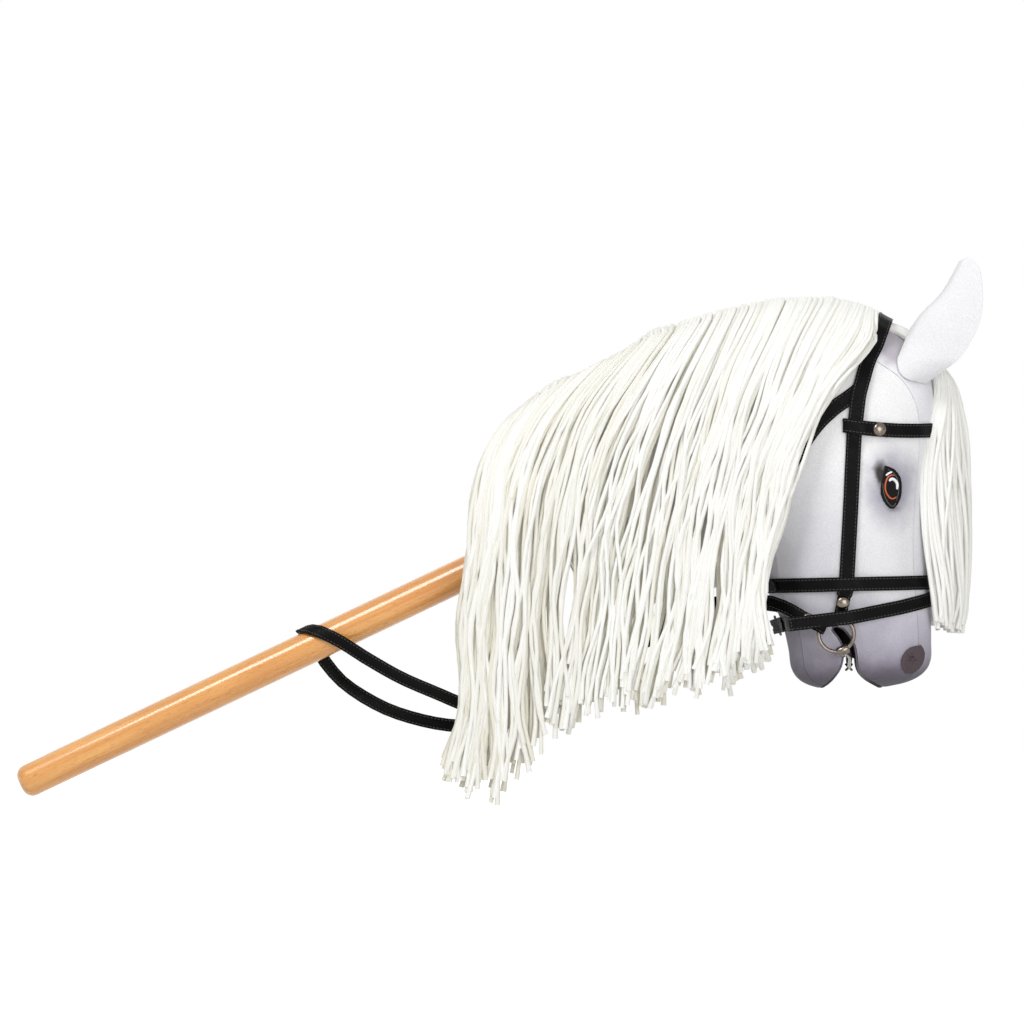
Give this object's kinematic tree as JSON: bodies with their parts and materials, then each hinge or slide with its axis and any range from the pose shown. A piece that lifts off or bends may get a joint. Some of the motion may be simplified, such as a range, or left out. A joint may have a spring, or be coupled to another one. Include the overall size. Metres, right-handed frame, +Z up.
{
  "type": "hobby horse",
  "caption": "Stick horse toy: beech stick, stuffed cloth horse head with ears and long yarn mane, and a stitched bridle with a jointed snaffle bit and reins",
  "frame": {"origin": "on the stick's axis where a hand grips it, 210 mm up from the butt's end", "axes": "+X is the way the horse looks, level; +Z is up; the near side, with the mane, is -Y; the stick slopes up towards +X at 25.43 degrees"},
  "size_m": [0.8206, 0.1395, 0.4582],
  "materials": {
    "beech": "clear gloss varnish",
    "white_cloth": "short velvety pile",
    "dark_lining": "matt",
    "stuffing": "loose fibre",
    "yarn": "plied wool yarn",
    "tape": "woven",
    "eye": "satin applique",
    "nostril": "gathered cloth",
    "leather": "pebbled, stitched edges",
    "nickel": "polished nickel"
  },
  "bodies": {
    "horse": {"stick": "beech", "side_panel_near": "white_cloth", "side_panel_far": "white_cloth", "face_gusset": "white_cloth", "jaw_gusset": "white_cloth", "neck_base_panel": "white_cloth", "ear_near": "white_cloth", "ear_far": "white_cloth", "ear_lining_near": "white_cloth", "ear_lining_far": "white_cloth", "mouth_lining": "dark_lining", "neck_filling": "stuffing", "head_filling": "stuffing", "jaw_filling": "stuffing", "lip_filling": "stuffing", "mane": "yarn", "forelock": "yarn", "mane_tape": "tape", "eye_near": "eye", "eye_far": "eye", "nostril_near": "nostril", "nostril_far": "nostril", "headpiece": "leather", "browband": "leather", "throatlatch": "leather", "noseband": "leather", "flash_strap": "leather", "front_keeper": "leather", "reins": "leather", "rivet_brow_near": "nickel", "rivet_brow_far": "nickel", "rivet_cheek_near": "nickel", "rivet_cheek_far": "nickel", "rivet_rein_near": "nickel", "rivet_rein_far": "nickel", "noseband_buckle_frame": "nickel", "noseband_buckle_tongue": "nickel", "flash_strap_buckle_frame": "nickel", "flash_strap_buckle_tongue": "nickel"},
    "ring_near": {"bit_ring_near": "nickel"},
    "ring_far": {"bit_ring_far": "nickel"},
    "bit_near": {"mouthpiece_near": "nickel"},
    "bit_far": {"mouthpiece_far": "nickel"}
  },
  "joints": [
    {"name": "bit_ring_near_spin", "type": "hinge", "parent": "horse", "child": "ring_near", "pos_m": [0.5035, -0.05529, 0.0384], "axis": [0, 1, 0], "continuous": true},
    {"name": "bit_ring_far_spin", "type": "hinge", "parent": "horse", "child": "ring_far", "pos_m": [0.5035, 0.05529, 0.0384], "axis": [0, 1, 0], "continuous": true},
    {"name": "mouthpiece_near_swing", "type": "hinge", "parent": "horse", "child": "bit_near", "pos_m": [0.5035, -0.05529, 0.0384], "axis": [0, 1, 0], "range_deg": [-4, 6]},
    {"name": "mouthpiece_far_swing", "type": "hinge", "parent": "horse", "child": "bit_far", "pos_m": [0.5035, 0.05529, 0.0384], "axis": [0, 1, 0], "range_deg": [-4, 6]}
  ],
  "couplings": [
    {"joint": "mouthpiece_far_swing", "follows": "mouthpiece_near_swing", "ratio": 1}
  ]
}
